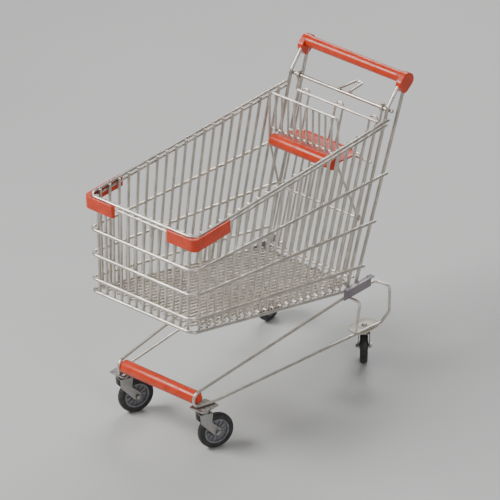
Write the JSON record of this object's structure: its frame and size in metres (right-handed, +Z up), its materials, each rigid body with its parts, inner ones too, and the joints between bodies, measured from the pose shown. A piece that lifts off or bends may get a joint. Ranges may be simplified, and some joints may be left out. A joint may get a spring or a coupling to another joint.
{
  "type": "shopping cart",
  "caption": "Wire shopping cart with open basket, swinging rear gate, folding child seat, bent wire chassis and swivel castors.",
  "frame": {"origin": "on the floor, under the middle of the cart's outer box", "axes": "+X to the right seen from the handle's front, +Y towards the handle, +Z up"},
  "size_m": [0.53, 1.1092, 1.022],
  "materials": {
    "tyre_rubber": "satin",
    "wheel_disc": "satin",
    "castor_steel": "zinc plated",
    "bolt_steel": "zinc plated",
    "orange_plastic": "gloss",
    "bracket_steel": "satin",
    "plate_enamel": "satin",
    "core_steel": "bare",
    "chassis_wire": "bright",
    "upright_wire": "bright",
    "gate_wire": "bright",
    "basket_wire": "bright"
  },
  "bodies": {
    "frame": {"bag_hook": "upright_wire", "basket_bottom_rim": "basket_wire", "basket_floor_cross_wires": "basket_wire", "basket_floor_long_wires": "basket_wire", "basket_floor_rear_wire": "basket_wire", "basket_front_wires": "basket_wire", "basket_hoop_lower": "basket_wire", "basket_hoop_middle": "basket_wire", "basket_hoop_upper": "basket_wire", "basket_left_wires": "basket_wire", "basket_right_wires": "basket_wire", "basket_rim_lower_wire": "basket_wire", "basket_rim_top_wire": "basket_wire", "bracket_left": "bracket_steel", "bracket_right": "bracket_steel", "castor_kingpins": "bolt_steel", "castor_top_plates": "castor_steel", "chassis_loop_left": "chassis_wire", "chassis_loop_right": "chassis_wire", "chassis_stay_left": "chassis_wire", "chassis_stay_right": "chassis_wire", "corner_bumper_left": "orange_plastic", "corner_bumper_right": "orange_plastic", "crossbar": "upright_wire", "front_bumper_plugs": "orange_plastic", "front_bumper_tube": "orange_plastic", "front_castor_plates": "castor_steel", "gate_stop_wire": "gate_wire", "handle_cap_left": "orange_plastic", "handle_cap_right": "orange_plastic", "handle_core_tube": "core_steel", "handle_grip": "orange_plastic", "rear_castor_plates": "plate_enamel", "upright_left": "upright_wire", "upright_right": "upright_wire"},
    "gate": {"gate_top_wire": "gate_wire", "gate_posts": "gate_wire", "gate_upright_wires": "gate_wire", "gate_cross_wires": "gate_wire", "seat_hinge_wire": "gate_wire"},
    "backrest": {"backrest_frame": "gate_wire", "backrest_lower_wire": "gate_wire", "backrest_upright_wires": "gate_wire"},
    "seat": {"seat_plate": "orange_plastic"},
    "front_left_castor": {"front_left_fork": "castor_steel", "front_left_axle_bolt": "bolt_steel"},
    "front_left_roller": {"front_left_wheel": "wheel_disc", "front_left_tyre": "tyre_rubber"},
    "front_right_castor": {"front_right_fork": "castor_steel", "front_right_axle_bolt": "bolt_steel"},
    "front_right_roller": {"front_right_wheel": "wheel_disc", "front_right_tyre": "tyre_rubber"},
    "rear_left_castor": {"rear_left_fork": "castor_steel", "rear_left_axle_bolt": "bolt_steel"},
    "rear_left_roller": {"rear_left_wheel": "wheel_disc", "rear_left_tyre": "tyre_rubber"},
    "rear_right_castor": {"rear_right_fork": "castor_steel", "rear_right_axle_bolt": "bolt_steel"},
    "rear_right_roller": {"rear_right_wheel": "wheel_disc", "rear_right_tyre": "tyre_rubber"}
  },
  "joints": [
    {"name": "gate_swing", "type": "hinge", "parent": "frame", "child": "gate", "pos_m": [0, 0.44476, 0.91], "axis": [-1, 0, 0], "range_deg": [0, 70]},
    {"name": "backrest_fold", "type": "hinge", "parent": "gate", "child": "backrest", "pos_m": [0, 0.33515, 0.54093], "axis": [-1, 0, 0], "range_deg": [0, 24]},
    {"name": "seat_fold", "type": "hinge", "parent": "gate", "child": "seat", "pos_m": [0, 0.38209, 0.74815], "axis": [1, 0, 0], "range_deg": [0, 66]},
    {"name": "front_left_swivel", "type": "hinge", "parent": "frame", "child": "front_left_castor", "pos_m": [-0.174, -0.437, 0.139], "axis": [0, 0, 1], "continuous": true},
    {"name": "front_left_spin", "type": "hinge", "parent": "front_left_castor", "child": "front_left_roller", "pos_m": [-0.15827, -0.39806, 0.0625], "axis": [-0.9272, 0.3746, 0], "continuous": true},
    {"name": "front_right_swivel", "type": "hinge", "parent": "frame", "child": "front_right_castor", "pos_m": [0.174, -0.437, 0.139], "axis": [0, 0, 1], "continuous": true},
    {"name": "front_right_spin", "type": "hinge", "parent": "front_right_castor", "child": "front_right_roller", "pos_m": [0.18973, -0.39806, 0.0625], "axis": [-0.9272, 0.3746, 0], "continuous": true},
    {"name": "rear_left_swivel", "type": "hinge", "parent": "frame", "child": "rear_left_castor", "pos_m": [-0.222, 0.316, 0.139], "axis": [0, 0, 1], "continuous": true},
    {"name": "rear_left_spin", "type": "hinge", "parent": "rear_left_castor", "child": "rear_left_roller", "pos_m": [-0.22784, 0.35759, 0.0625], "axis": [-0.9903, -0.1392, 0], "continuous": true},
    {"name": "rear_right_swivel", "type": "hinge", "parent": "frame", "child": "rear_right_castor", "pos_m": [0.222, 0.316, 0.139], "axis": [0, 0, 1], "continuous": true},
    {"name": "rear_right_spin", "type": "hinge", "parent": "rear_right_castor", "child": "rear_right_roller", "pos_m": [0.195, 0.34817, 0.0625], "axis": [-0.766, -0.6428, 0], "continuous": true}
  ]
}
